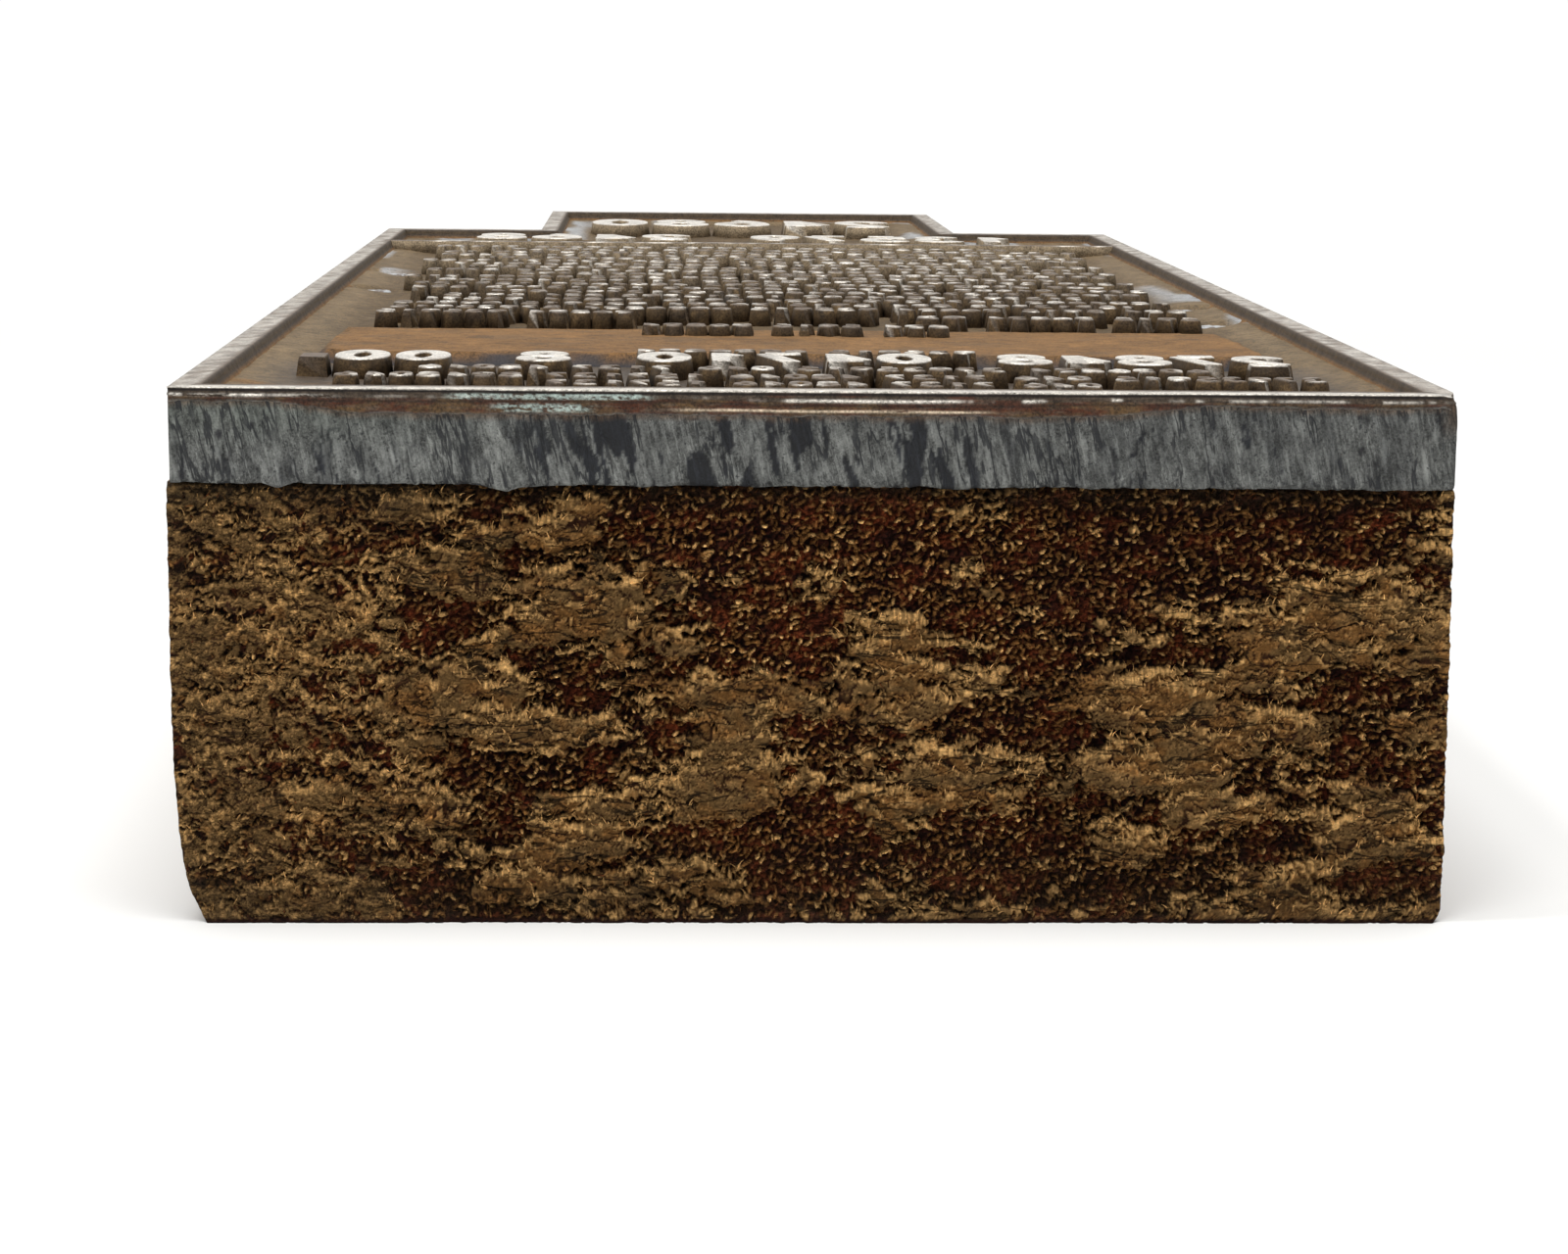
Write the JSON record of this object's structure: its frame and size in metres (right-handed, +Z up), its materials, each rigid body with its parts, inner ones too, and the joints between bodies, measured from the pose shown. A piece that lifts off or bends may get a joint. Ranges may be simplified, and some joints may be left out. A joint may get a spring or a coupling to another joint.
{
  "type": "letterpress printing block",
  "caption": "Flat oblong printing block: a wood mount with a metal-backed copper relief plate nailed on, type-high, with a framed label form and a tab at one end.",
  "frame": {"origin": "middle of the underside, on the press bed", "axes": "+X across the block, +Y from the front end to the tab end, +Z up towards the printing face"},
  "size_m": [0.0548, 0.1392, 0.0233],
  "materials": {
    "mount_wood": "old hardwood, end grain torn by the saw, darkened with ink and oil",
    "type_metal": "dull blue-grey lead alloy with saw marks",
    "copper_face": "tarnished copper, brown in the hollows and rubbed pale on the printing faces",
    "nail_steel": "dull steel nail heads"
  },
  "bodies": {
    "root": {"wood_mount": "mount_wood", "backing_plate": "type_metal", "copper_shell": "copper_face", "nail_1": "nail_steel", "nail_2": "nail_steel", "nail_3": "nail_steel", "nail_4": "nail_steel", "nail_5": "nail_steel", "nail_6": "nail_steel", "nail_7": "nail_steel", "nail_8": "nail_steel", "nail_9": "nail_steel", "nail_10": "nail_steel"}
  },
  "joints": []
}
